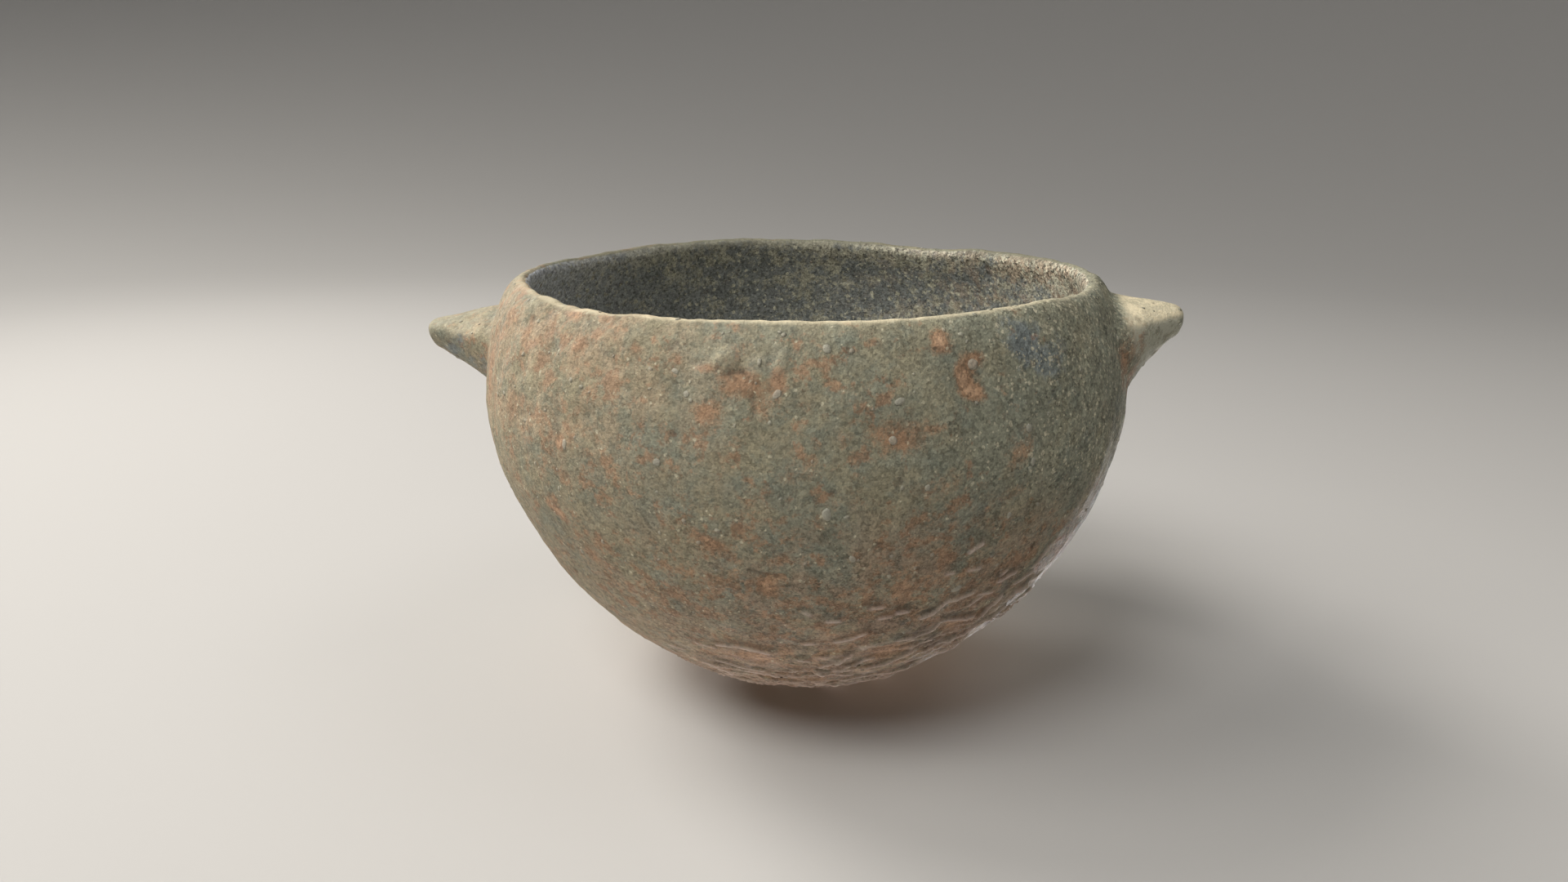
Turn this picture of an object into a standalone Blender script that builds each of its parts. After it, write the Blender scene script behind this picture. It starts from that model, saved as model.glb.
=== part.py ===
"""Hand-built deep clay bowl with a round base, a slightly closed mouth and two lugs under the rim.

Units are metres and degrees, +Z is up. The origin is the middle of the small flat spot that the bowl
stands on. +X points to the higher lug, and -Y to the side that is seen from the front.
Azimuths turn from +X towards +Y.
"""

import math

import bmesh
import bpy

# Round wall, outside
BELLY_RADIUS = 0.100
BELLY_HEIGHT = 0.098
REST_RADIUS = 0.015
BASE_FULLNESS = 1.76
RIM_HEIGHT = 0.1346
MOUTH_RADIUS = 0.0877
SHOULDER_FULLNESS = 1.75

# Wall thickness, lip and inside
WALL = 0.0065
FLOOR = 0.0080
LIP_INWARD = 0.0029
LIP_DROP = 0.0030
FLOOR_SPOT_RADIUS = 0.006

# Unevenness of the rim: azimuth, rise and half-width of each swell or dip
RIM_SWELLS = (
    (150.0, -0.00095, 17.0),
    (110.0, 0.0009, 13.0),
    (118.5, -0.0007, 2.5),
    (55.0, -0.0020, 17.0),
    (44.0, 0.0009, 3.0),
    (5.0, 0.0005, 12.0),
    (-49.0, 0.0012, 8.0),
    (-58.0, 0.0008, 3.0),
    (-68.0, 0.0006, 5.0),
    (-113.0, -0.0008, 6.0),
    (-132.0, -0.0014, 7.0),
)

# Lugs. Levels are depths below the rim, ridge is the widest level of the lug's section
LUGS = {
    "lug_right": {
        "azimuth": -11.0,
        "reach": 0.0192,
        "root_top": 0.0045,
        "root_ridge": 0.0135,
        "root_bottom": 0.0395,
        "root_half_width": 0.0290,
        "tip_top": 0.0071,
        "tip_ridge": 0.0108,
        "tip_bottom": 0.0178,
        "tip_half_width": 0.0062,
    },
    "lug_left": {
        "azimuth": 181.0,
        "reach": 0.0217,
        "root_top": 0.0098,
        "root_ridge": 0.0180,
        "root_bottom": 0.0385,
        "root_half_width": 0.0270,
        "tip_top": 0.0144,
        "tip_ridge": 0.0180,
        "tip_bottom": 0.0250,
        "tip_half_width": 0.0070,
    },
}
LUG_SECTION_POWER = 1.8
LUG_FLARE = 0.85
LUG_TIP_ROUNDING = 0.0035
# Share of the wall's thickness that the lugs reach into
LUG_SEAT_SHARE = 0.5

# Smoothness of the facets
COLUMNS = 84
BASE_STEPS = 18
SHOULDER_STEPS = 9
LIP_STEPS = 4
INNER_SHOULDER_STEPS = 6
INNER_BASE_STEPS = 13
LUG_SIDES = 24
LUG_RINGS = 5
LUG_TIP_RINGS = 3
SEAM_MERGE = 0.000001

CLAY_COLOUR = (0.205, 0.178, 0.127, 1.0)
CLAY_ROUGHNESS = 0.85


def quarter(share, fullness):
    """What is left across a superellipse quarter at a share of the way along it."""
    return (1.0 - min(share, 1.0) ** fullness) ** (1.0 / fullness)


def base_depth():
    """Depth of the full outer base below the belly, before the rest spot cuts it flat."""
    return BELLY_HEIGHT / quarter(REST_RADIUS / BELLY_RADIUS, BASE_FULLNESS)


def outer_radius(height):
    if height <= BELLY_HEIGHT:
        return BELLY_RADIUS * quarter((BELLY_HEIGHT - height) / base_depth(), BASE_FULLNESS)
    up = (height - BELLY_HEIGHT) / (RIM_HEIGHT - BELLY_HEIGHT)
    return MOUTH_RADIUS + (BELLY_RADIUS - MOUTH_RADIUS) * quarter(up, SHOULDER_FULLNESS)


def base_points(radius, depth, end_radius, steps):
    """Points of a round base from the belly down to a ring of the end radius."""
    share = 2.0 / BASE_FULLNESS
    last = math.acos((end_radius / radius) ** (1.0 / share))
    points = []
    for step in range(steps + 1):
        angle = last * step / steps
        points.append((radius * math.cos(angle) ** share, BELLY_HEIGHT - depth * math.sin(angle) ** share))
    return points


def shoulder_points():
    """Outer points above the belly, ending on the crest of the lip."""
    share = 2.0 / SHOULDER_FULLNESS
    points = []
    for step in range(1, SHOULDER_STEPS + 1):
        angle = 0.5 * math.pi * step / SHOULDER_STEPS
        across = max(math.cos(angle), 0.0) ** share
        radius = MOUTH_RADIUS + (BELLY_RADIUS - MOUTH_RADIUS) * across
        height = BELLY_HEIGHT + (RIM_HEIGHT - BELLY_HEIGHT) * math.sin(angle) ** share
        points.append((radius, height))
    return points


def lip_points():
    """From just inside the crest round to the inner edge of the lip."""
    points = []
    for step in range(1, LIP_STEPS + 1):
        angle = 0.5 * math.pi * step / LIP_STEPS
        radius = MOUTH_RADIUS - LIP_INWARD * math.sin(angle)
        points.append((radius, RIM_HEIGHT - LIP_DROP * (1.0 - math.cos(angle))))
    return points


def inner_shoulder_points():
    """Inner wall from below the lip down to just above the belly."""
    inner_belly = BELLY_RADIUS - WALL
    inner_mouth = MOUTH_RADIUS - LIP_INWARD
    rise = RIM_HEIGHT - LIP_DROP - BELLY_HEIGHT
    points = []
    for step in range(INNER_SHOULDER_STEPS - 1, 0, -1):
        up = step / INNER_SHOULDER_STEPS
        points.append((inner_belly - (inner_belly - inner_mouth) * up**2, BELLY_HEIGHT + rise * up))
    return points


def bowl_profile():
    """Half section from the edge of the rest spot, over the lip, to the middle of the floor."""
    outside = base_points(BELLY_RADIUS, base_depth(), REST_RADIUS, BASE_STEPS)
    inside = base_points(BELLY_RADIUS - WALL, BELLY_HEIGHT - FLOOR, FLOOR_SPOT_RADIUS, INNER_BASE_STEPS)
    return outside[::-1] + shoulder_points() + lip_points() + inner_shoulder_points() + inside


def rim_rise(azimuth):
    """How far the hand-shaped rim stands above its mean height."""
    rise = 0.0
    for centre, height, spread in RIM_SWELLS:
        away = (azimuth - centre + 180.0) % 360.0 - 180.0
        rise += height * math.exp(-((away / spread) ** 2))
    return rise


def shape_rim(mesh):
    """Moves the wall above the belly to the uneven rim, the most at the lip."""
    for vert in mesh.verts:
        up = (vert.co.z - BELLY_HEIGHT) / (RIM_HEIGHT - BELLY_HEIGHT)
        up = min(max(up, 0.0), 1.0)
        share = up * up * (3.0 - 2.0 * up)
        azimuth = math.degrees(math.atan2(vert.co.y, vert.co.x))
        vert.co.z += rim_rise(azimuth) * share


def link_mesh(name, mesh, material):
    """Makes an object of the finished bmesh."""
    bmesh.ops.recalc_face_normals(mesh, faces=mesh.faces)
    data = bpy.data.meshes.new(name)
    mesh.to_mesh(data)
    mesh.free()
    data.materials.append(material)
    data.shade_smooth()
    piece = bpy.data.objects.new(name, data)
    bpy.context.scene.collection.objects.link(piece)
    return piece


def make_wall(material):
    """Round wall, spun from its half section, with the rim shaped afterwards."""
    mesh = bmesh.new()
    verts = [mesh.verts.new((radius, 0.0, height)) for radius, height in bowl_profile()]
    edges = [mesh.edges.new(pair) for pair in zip(verts, verts[1:])]
    bmesh.ops.spin(
        mesh,
        geom=verts + edges,
        axis=(0, 0, 1),
        cent=(0, 0, 0),
        steps=COLUMNS,
        angle=math.tau,
        use_merge=True,
    )
    bmesh.ops.remove_doubles(mesh, verts=mesh.verts, dist=SEAM_MERGE)
    rest_edges = [edge for edge in mesh.edges if edge.is_boundary]
    bmesh.ops.holes_fill(mesh, edges=rest_edges, sides=COLUMNS)
    shape_rim(mesh)
    return link_mesh("bowl", mesh, material)


def lug_section(size, along):
    """Half-width, top, ridge and bottom of a lug's section, along 0 at the wall and 1 at the tip."""
    narrowing = along**LUG_FLARE
    levels = []
    for level in ("top", "ridge", "bottom"):
        blend = along if level == "top" else narrowing
        depth = size["root_" + level] + (size["tip_" + level] - size["root_" + level]) * blend
        levels.append(RIM_HEIGHT - depth)
    half_width = size["root_half_width"] + (size["tip_half_width"] - size["root_half_width"]) * narrowing
    return half_width, levels


def lug_ring(size, along, shrink, outward):
    """One ring of a lug in its own axes: out from the bowl's axis, across, and up."""
    half_width, (top, ridge, bottom) = lug_section(size, along)
    tip = outer_radius(RIM_HEIGHT - size["tip_ridge"]) + size["reach"] - LUG_TIP_ROUNDING
    ring = []
    for side in range(LUG_SIDES):
        angle = math.tau * side / LUG_SIDES
        power = 2.0 / LUG_SECTION_POWER
        across = half_width * shrink * math.copysign(abs(math.cos(angle)) ** power, math.cos(angle))
        rise = math.copysign(abs(math.sin(angle)) ** power, math.sin(angle)) * shrink
        up = ridge + rise * (top - ridge if rise > 0.0 else ridge - bottom)
        seat = math.sqrt((outer_radius(up) - LUG_SEAT_SHARE * WALL) ** 2 - across**2)
        ring.append((seat + (tip - seat) * along + outward, across, up))
    return ring


def make_lug(name, size, material):
    """Blunt cone that starts inside the wall and narrows to a rounded tip."""
    rings = [lug_ring(size, step / LUG_RINGS, 1.0, 0.0) for step in range(LUG_RINGS + 1)]
    for step in range(1, LUG_TIP_RINGS + 1):
        angle = 0.5 * math.pi * step / (LUG_TIP_RINGS + 1)
        rings.append(lug_ring(size, 1.0, math.cos(angle), LUG_TIP_ROUNDING * math.sin(angle)))
    turn = math.radians(size["azimuth"])
    mesh = bmesh.new()
    loops = []
    for ring in rings:
        loop = []
        for out, across, up in ring:
            x = out * math.cos(turn) - across * math.sin(turn)
            y = out * math.sin(turn) + across * math.cos(turn)
            loop.append(mesh.verts.new((x, y, up)))
        loops.append(loop)
    for inner, outer in zip(loops, loops[1:]):
        for side in range(LUG_SIDES):
            after = (side + 1) % LUG_SIDES
            mesh.faces.new((inner[side], inner[after], outer[after], outer[side]))
    mesh.faces.new(loops[0])
    mesh.faces.new(loops[-1])
    lug = link_mesh(name, mesh, material)
    lug.hide_render = True
    lug.display_type = "WIRE"
    return lug


def clay_material():
    material = bpy.data.materials.new("fired_clay")
    material.use_nodes = True
    shader = material.node_tree.nodes["Principled BSDF"]
    shader.inputs["Base Color"].default_value = CLAY_COLOUR
    shader.inputs["Roughness"].default_value = CLAY_ROUGHNESS
    shader.inputs["Metallic"].default_value = 0.0
    return material


def build():
    for old in list(bpy.data.objects):
        bpy.data.objects.remove(old)
    clay = clay_material()
    bowl = make_wall(clay)
    for name, size in LUGS.items():
        union = bowl.modifiers.new(name, "BOOLEAN")
        union.operation = "UNION"
        union.object = make_lug(name, size, clay)


build()
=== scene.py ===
import math
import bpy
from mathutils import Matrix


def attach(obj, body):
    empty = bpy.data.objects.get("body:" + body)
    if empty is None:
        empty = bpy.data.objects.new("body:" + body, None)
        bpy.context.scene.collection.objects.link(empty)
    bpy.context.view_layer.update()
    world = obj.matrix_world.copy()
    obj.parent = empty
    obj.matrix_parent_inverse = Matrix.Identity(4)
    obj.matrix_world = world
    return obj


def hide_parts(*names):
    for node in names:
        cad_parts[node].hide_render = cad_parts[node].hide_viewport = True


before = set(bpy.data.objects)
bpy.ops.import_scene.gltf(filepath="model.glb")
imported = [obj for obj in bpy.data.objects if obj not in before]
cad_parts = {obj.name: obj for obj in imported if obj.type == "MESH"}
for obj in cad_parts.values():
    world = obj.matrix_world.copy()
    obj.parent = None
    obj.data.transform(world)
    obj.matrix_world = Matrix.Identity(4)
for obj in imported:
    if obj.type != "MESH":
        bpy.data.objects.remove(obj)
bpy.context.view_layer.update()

from types import SimpleNamespace

import bmesh
import bpy
import numpy as np
from mathutils import Vector
from mathutils.bvhtree import BVHTree
from mathutils.kdtree import KDTree

# Metres and degrees. Azimuth turns from the right lug (+X) towards the back (+Y), so the front is at -90.
scene = bpy.context.scene
mm = 0.001  # the tables of marks and stains give millimetres


# Camera and stage

cameraPlace = {
    "spot": (-0.00675, -0.33637, 0.18113),
    "tilt": 72.97,  # from looking straight down
    "lens": 24.444,  # mm
    "sensor": 36.0,  # mm
    "nearest": 0.01,
}


def placeCamera():
    data = bpy.data.cameras.new("camera")
    data.lens = cameraPlace["lens"]
    data.sensor_width = cameraPlace["sensor"]
    data.clip_start = cameraPlace["nearest"]
    camera = bpy.data.objects.new("camera", data)
    camera.location = cameraPlace["spot"]
    camera.rotation_euler = (math.radians(cameraPlace["tilt"]), 0.0, 0.0)
    scene.collection.objects.link(camera)
    scene.camera = camera


stage = {
    "floorRadius": 1.0,
    "sweepRadius": 2.2,
    "sweepSteps": 24,
    "wallTop": 3.4,
    "columns": 96,
    "weld": 1e-5,
    "colour": (0.50, 0.49, 0.475, 1.0),
    "roughness": 0.9,
    "shine": 0.2,
}


def makeStage():
    # A round pale floor that sweeps up into a wall, the same from every side
    profile = [(0.0, 0.0), (stage["floorRadius"] * 0.5, 0.0)]
    for step in range(stage["sweepSteps"] + 1):
        angle = math.radians(90.0 * step / stage["sweepSteps"])
        out = stage["floorRadius"] + stage["sweepRadius"] * math.sin(angle)
        profile.append((out, stage["sweepRadius"] * (1.0 - math.cos(angle))))
    profile.append((profile[-1][0], stage["wallTop"]))
    mesh = bmesh.new()
    verts = [mesh.verts.new((out, 0.0, up)) for out, up in profile]
    edges = [mesh.edges.new(pair) for pair in zip(verts, verts[1:])]
    bmesh.ops.spin(
        mesh, geom=verts + edges, axis=(0, 0, 1), cent=(0, 0, 0),
        steps=stage["columns"], angle=math.tau, use_merge=True
    )
    bmesh.ops.remove_doubles(mesh, verts=mesh.verts, dist=stage["weld"])
    bmesh.ops.recalc_face_normals(mesh, faces=mesh.faces)
    data = bpy.data.meshes.new("floor")
    mesh.to_mesh(data)
    mesh.free()
    data.shade_smooth()
    material = bpy.data.materials.new("palePaper")
    material.use_nodes = True
    shader = material.node_tree.nodes["Principled BSDF"]
    shader.inputs["Base Color"].default_value = stage["colour"]
    shader.inputs["Roughness"].default_value = stage["roughness"]
    shader.inputs["Specular IOR Level"].default_value = stage["shine"]
    data.materials.append(material)
    floor = bpy.data.objects.new("floor", data)
    scene.collection.objects.link(floor)


lights = {
    "key": {"spot": (-1.15, -0.35, 1.25), "size": 0.7, "watts": 9.5, "colour": (1, 0.96, 0.9)},
    "leftBack": {"spot": (-1, 0.35, 1.35), "size": 0.7, "watts": 16, "colour": (1, 0.96, 0.9)},
    "leftFront": {"spot": (-0.55, -0.85, 1.35), "size": 0.7, "watts": 12.5, "colour": (1, 0.98, 0.95)},
    "rightTop": {"spot": (0.8, -0.2, 1.5), "size": 0.8, "watts": 3, "colour": (1, 0.98, 0.95)},
    "rimLeft": {"spot": (-1.05, 1, 0.6), "size": 0.45, "watts": 1, "cone": 60, "colour": (1, 0.95, 0.9)},
}
# Stand for the glow of the ground behind and below the bowl, and light nothing but the bowl
glows = {
    "edgeGlow": {"spot": (0.5, 1, -0.56), "size": 0.55, "watts": 18, "colour": (0.97, 0.95, 1)},
    "underGlow": {"spot": (-0.1, 0.5, -1.1), "size": 0.6, "watts": 5, "colour": (1, 0.8, 0.73)},
}
lightAim = (0.0, 0.0, 0.08)
sky = {"colour": (0.86, 0.92, 1.0, 1.0), "strength": 0.10}


def makeLight(name, lamp):
    data = bpy.data.lights.new(name, "AREA")
    data.shape = "DISK"
    data.size = lamp["size"]
    data.energy = lamp["watts"]
    data.spread = math.radians(lamp.get("cone", 180))
    data.color = lamp["colour"]
    light = bpy.data.objects.new(name, data)
    light.location = lamp["spot"]
    aim = Vector(lightAim) - Vector(lamp["spot"])
    light.rotation_euler = aim.to_track_quat("-Z", "Y").to_euler()
    light.visible_camera = False
    scene.collection.objects.link(light)
    return light


def makeGlows(piece):
    only = bpy.data.collections.new("bowlOnly")
    only.objects.link(piece)
    for name, lamp in glows.items():
        light = makeLight(name, lamp)
        light.light_linking.receiver_collection = only
        light.light_linking.blocker_collection = only


def makeLights():
    for name, lamp in lights.items():
        makeLight(name, lamp)
    world = bpy.data.worlds.new("sky")
    world.use_nodes = True
    background = world.node_tree.nodes["Background"]
    background.inputs["Color"].default_value = sky["colour"]
    background.inputs["Strength"].default_value = sky["strength"]
    scene.world = world
    scene.view_settings.view_transform = "Standard"


# Relief of the bowl, worked out in numbers on its vertices

noiseTable = 256  # random slopes of the noise, a power of two


def smoothStep(values, low, high):
    share = np.clip((values - low) / (high - low), 0.0, 1.0)
    return share * share * (3.0 - 2.0 * share)


def bell(away):
    return np.exp(-(away**2))


def azimuths(points):
    return np.degrees(np.arctan2(points[:, 1], points[:, 0]))


def around(azimuth, turn, spread):
    # 1 at the azimuth given by turn, and less to both sides of it
    return bell(((azimuth - turn + 180.0) % 360.0 - 180.0) / spread)


def softNoise(points, size, seed):
    # Gradient noise from about -1 to 1, with lumps of about the given size in metres
    random = np.random.default_rng(seed)
    order = random.permutation(noiseTable)
    slopes = random.normal(size=(noiseTable, 3))
    slopes /= np.linalg.norm(slopes, axis=1)[:, None]
    places = points / size + random.uniform(0.0, 50.0, 3)
    cells = np.floor(places).astype(int)
    local = places - cells
    fade = local**3 * (local * (local * 6.0 - 15.0) + 10.0)
    last = noiseTable - 1
    total = np.zeros(len(points))
    for corner in np.ndindex(2, 2, 2):
        offset = np.array(corner)
        shifted = cells + offset
        index = order[shifted[:, 0] & last]
        index = order[(index + shifted[:, 1]) & last]
        index = order[(index + shifted[:, 2]) & last]
        weight = np.prod(np.where(offset == 1, fade, 1.0 - fade), axis=1)
        total += weight * ((local - offset) * slopes[index]).sum(axis=1)
    return total * 1.6  # widens the range to about -1 to 1


bowl = {
    "piece": "deepBowl",
    "centre": (0.0, 0.0, 0.098),  # level of the belly, inside and outside are told from here
    "rimHeight": 0.1346,
    "bellyRadius": 0.100,
    # Mesh
    "weld": 2e-6,
    "quadAngle": 35.0,
    "quadShapeAngle": 50.0,
    "roundLevels": 2,
    "voxel": 0.0008,
    "smoothing": (6, 0.50, 0.52),  # rounds, pull in, push out
    "firstTriangles": 290000,
    "triangles": 182000,
    "plainBehind": 0.01,
    # Which way the surface faces where the inside ends, and the same at the lip
    "innerFacing": (-0.55, 0.10),
    "lipRadius": 0.0915,
    "lipFacing": (0.0, 0.3),
    # Relief left by the hand: size of the lumps, how far they rise or sink, seed
    "handLumps": ((0.040, 0.00055, 11), (0.015, 0.00032, 12), (0.0072, 0.00021, 13), (0.0036, 0.00012, 14)),
    "broadFrom": 0.01,  # lumps larger than this leave the tone of the clay alone
    "innerCalm": 0.7,
    "innerCalmHeights": (0.060, 0.090),
    "shoulderLumps": ((0.0085, 0.00052, 21), (0.0042, 0.00034, 22)),
    "shoulderTurn": -128.0,
    "shoulderSpread": 38.0,
    "shoulderHeights": (0.085, 0.115),
    "lipLumps": ((0.011, 0.00028, 23), (0.004, 0.00010, 24)),
    "lipBand": 0.007,
    "fullRise": 0.0007,  # rise at which the painted highlight on high points is full, and the sink at which the painted shade in hollows is full
    # Grains of grit, small stones of their own
    "grains": 420,
    "grainRadius": (0.0004, 0.0009),
    "grainHeight": (0.00008, 0.00025),
    "grainStretch": (0.75, 1.25),
    "grainUneven": (0.85, 1.12),
    "grainSink": 0.4,
    "grainPaleness": 0.7,
    "grainSeed": 6,
    # Pits
    "pits": 330,
    "pitRadius": (0.0006, 0.0013),
    "pitDepth": (0.00010, 0.00034),
    "pitReach": 1.7,
    "pitSteepness": 4,
    "pitSeed": 5,
}

# Pale grit that stands proud: azimuth, height in mm, radius in mm, rise in mm
grits = (
    (-88, 90, 1.5, 0.45),
    (-84, 77, 1, 0.3),
    (-88, 129, 1.1, 0.35),
    (-66, 124, 1.5, 0.4),
    (-65, 63, 1.3, 0.35),
    (-78, 117, 1.1, 0.3),
    (-74, 96, 0.8, 0.2),
    (-110, 123, 0.8, 0.25),
    (-112, 101, 1, 0.25),
    (-57, 107, 1.1, 0.3),
    (-56, 98, 1, 0.25),
    (-79, 108, 1.1, 0.25),
    (-95, 119, 1.1, 0.25),
    (-108, 118, 0.8, 0.2),
    (-59, 84, 0.9, 0.25),
    (-129, 101, 1.2, 0.25),
)

# Larger lumps: azimuth, height in mm, half-length and half-width in mm, turn, rise in mm
lumps = (
    (-102.5, 126.5, 3.4, 2.8, 35, 1.5),
    (-98, 125, 3, 2.2, 70, 0.8),
    (-94.5, 126, 3.6, 2, 75, 0.7),
    (-106, 123, 3, 2, 20, 0.5),
    (-96.5, 120, 4, 3, 0, -0.35),
    (-66, 122, 6.5, 3.5, 70, -0.5),
    (-78, 108, 9, 5, 10, -0.4),
    (-97.5, 68, 2.6, 1.6, 60, -0.5),
    (-74, 59, 2.4, 1.5, 0, -0.6),
    (-92.5, 71, 1.4, 1.4, 0, -0.4),
    (-96, 53, 2.6, 1.5, -20, -0.35),
    (-93, 51, 2.4, 1.2, 0, -0.35),
    (-79, 30, 2.6, 1.4, 20, -0.5),
    (-91, 40, 2, 1.2, 0, -0.4),
)
lumpShape = {
    "sides": (0.10, 0.95),
    "evenShare": 0.85,
    "unevenShare": 0.45,
    "unevenSize": 0.0024,
    "unevenSeed": 25,
    "leastDepth": 0.004,  # how far a mark reaches through the wall
    "paleness": 0.35,
}

# Cracks and scored lines: azimuth and height in mm of the points, half-width and depth in mm
cracks = (
    (((-102, 123), (-100, 124), (-99, 122.5)), 0.55, 0.45),
    (((-98.5, 118.5), (-98, 115.5), (-98.5, 113)), 0.6, 0.4),
    (((-111, 121), (-109.5, 120.5), (-109, 119)), 0.45, 0.25),
    (((-99.5, 73), (-97.5, 72), (-95, 71.5)), 0.7, 0.45),
    (((-69.5, 56), (-68, 56.5)), 0.9, 0.5),
)
fullCrack = 0.0005  # depth at which the painted shade in a crack is full

# Ridges pushed up by smoothing the wet clay: azimuth and height in mm of the points, rise in mm
ridges = (
    (((-65, 75), (-63, 77)), 0.68),
    (((-64, 69), (-62, 69)), 0.38),
    (((-68, 69), (-67, 69)), 0.38),
    (((-56, 62), (-52, 63)), 0.68),
    (((-56, 64), (-55, 65)), 0.45),
    (((-47, 62), (-46, 65), (-45, 68)), 0.9),
    (((-50, 58), (-46, 60)), 0.75),
    (((-48, 50), (-47, 53), (-44, 54)), 1.05),
    (((-59, 58), (-56, 58)), 0.45),
    (((-60, 55), (-58, 57)), 0.52),
    (((-54, 46), (-52, 51), (-52, 55)), 0.9),
    (((-50, 43), (-45, 46)), 0.9),
    (((-64, 59), (-61, 60)), 0.45),
    (((-70, 54), (-68, 55), (-66, 59), (-64, 59)), 0.75),
    (((-73, 46), (-66, 47), (-65, 51), (-56, 48)), 0.75),
    (((-67, 40), (-64, 42)), 0.68),
    (((-76, 31), (-72, 33), (-66, 38)), 0.83),
    (((-63, 35), (-60, 38), (-56, 39)), 0.75),
    (((-57, 33), (-52, 42)), 0.75),
    (((-80, 60), (-78, 60)), 0.45),
    (((-75, 57), (-73, 57)), 0.6),
    (((-78, 56), (-76, 56)), 0.45),
    (((-87, 56), (-85, 56)), 0.45),
    (((-85, 47), (-82, 48), (-80, 50)), 0.52),
    (((-87, 34), (-81, 40)), 0.6),
    (((-84, 31), (-80, 33), (-76, 37)), 0.6),
    (((-88, 30), (-83, 29), (-78, 26)), 0.68),
    (((-80, 22), (-73, 24), (-61, 25)), 0.68),
    (((-123, 36), (-120, 35)), 0.45),
    (((-114, 41), (-110, 40)), 0.38),
    (((-109, 42), (-105, 43), (-98, 41)), 0.68),
    (((-118, 28), (-113, 28)), 0.52),
    (((-112, 32), (-108, 31), (-101, 30)), 0.6),
    (((-105, 27), (-96, 25)), 0.6),
    (((-91, 46), (-89, 46)), 0.52),
    (((-92, 38), (-90, 37)), 0.52),
    (((-91, 59), (-90, 58)), 0.38),
)
ridgeShape = {
    "halfWidth": 0.0007,
    "troughUp": 1.7,  # mm above the ridge
    "troughHalfWidth": 0.0013,
    "troughShare": 0.80,
    "crestPower": 1.5,
    # Rises in mm at which the painted highlight on a crest and the painted shade in its trough are full
    "fullCrest": 0.5,  # mm of rise
    "fullGroove": 0.7,
}

# Fainter wavy ridges between them and round the underside
wrinkles = {
    "turn": -48.0,
    "spread": 58.0,
    "heights": (0.026, 0.036),  # how high they reach at the back, and how much higher at the turn
    "edge": 0.014,
    "acrossSize": 0.0150,
    "downSize": 0.0052,
    "warp": 0.003,
    "warpSize": 0.012,
    "seeds": (61, 62, 63, 64, 66),
    "crestWidth": 0.17,
    "crestPower": 1.3,
    "fineSize": 0.62,
    "fineWidth": 0.19,
    "fineShare": 0.7,
    "gapSize": 0.011,
    "gaps": (-0.35, 0.25),
    "grooveStart": (0.10, 0.30),
    "grooveEnd": (0.35, 0.75),
    "rise": 0.00075,
    "dent": 0.00045,
    "swell": 0.00040,
    "swellSize": 0.0095,
    # Strengths of the painted highlight on the crests and the painted shade in the grooves
    "crestTone": 0.8,
    "grooveTone": 0.7,
}


def wrinkleMask(points):
    low, more = wrinkles["heights"]
    limit = low + more * around(azimuths(points), wrinkles["turn"], wrinkles["spread"])
    return smoothStep(limit - points[:, 2], 0.0, wrinkles["edge"])


def wrinkleLines(points):
    # Thin crests where a stretched noise crosses zero, dents and grooves between them, and a soft swell
    away = points - np.array(bowl["centre"])
    down = np.arctan2(np.hypot(away[:, 0], away[:, 1]), -away[:, 2]) * bowl["bellyRadius"]
    warpSeed, waveSeed, fineSeed, gapSeed, swellSeed = wrinkles["seeds"]
    warp = wrinkles["warp"] * softNoise(points, wrinkles["warpSize"], warpSeed)
    across = points[:, :2] / wrinkles["acrossSize"]
    flat = np.column_stack((across, (down + warp) / wrinkles["downSize"]))
    wave = softNoise(flat, 1.0, waveSeed)
    first = np.abs(wave)
    second = np.abs(softNoise(flat, wrinkles["fineSize"], fineSeed))
    fine = wrinkles["fineShare"] * (1.0 - second / wrinkles["fineWidth"])
    crest = np.maximum(1.0 - first / wrinkles["crestWidth"], fine)
    crest = np.clip(crest, 0.0, 1.0) ** wrinkles["crestPower"]
    broken = smoothStep(softNoise(points, wrinkles["gapSize"], gapSeed), *wrinkles["gaps"])
    groove = smoothStep(wave, *wrinkles["grooveStart"]) * (1.0 - smoothStep(wave, *wrinkles["grooveEnd"]))
    swell = softNoise(points, wrinkles["swellSize"], swellSeed)
    return crest * broken, np.clip(first, 0.0, 1.0), groove * broken, swell


def weldedCad(node):
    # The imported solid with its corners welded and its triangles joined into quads
    mesh = bmesh.new()
    mesh.from_mesh(node.data)
    bmesh.ops.remove_doubles(mesh, verts=mesh.verts, dist=bowl["weld"])
    bmesh.ops.join_triangles(
        mesh, faces=mesh.faces, angle_face_threshold=math.radians(bowl["quadAngle"]),
        angle_shape_threshold=math.radians(bowl["quadShapeAngle"])
    )
    return mesh


def roundedMesh(node):
    # Subdivided until the facets are gone, then remeshed into even faces
    mesh = weldedCad(node)
    data = bpy.data.meshes.new(bowl["piece"])
    mesh.to_mesh(data)
    mesh.free()
    piece = bpy.data.objects.new(bowl["piece"], data)
    scene.collection.objects.link(piece)
    smooth = piece.modifiers.new("round", "SUBSURF")
    smooth.levels = bowl["roundLevels"]
    smooth.render_levels = bowl["roundLevels"]
    remesh = piece.modifiers.new("even", "REMESH")
    remesh.mode = "VOXEL"
    remesh.voxel_size = bowl["voxel"]
    applyModifiers(piece)
    return piece


def applyModifiers(piece):
    shown = piece.evaluated_get(bpy.context.evaluated_depsgraph_get())
    made = bpy.data.meshes.new_from_object(shown)
    piece.modifiers.clear()
    old = piece.data
    piece.data = made
    bpy.data.meshes.remove(old)


def readPoints(mesh):
    points = np.empty(len(mesh.vertices) * 3)
    mesh.vertices.foreach_get("co", points)
    return points.reshape(-1, 3)


def readNormals(mesh):
    normals = np.empty(len(mesh.vertices) * 3)
    mesh.vertex_normals.foreach_get("vector", normals)
    return normals.reshape(-1, 3)


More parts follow.
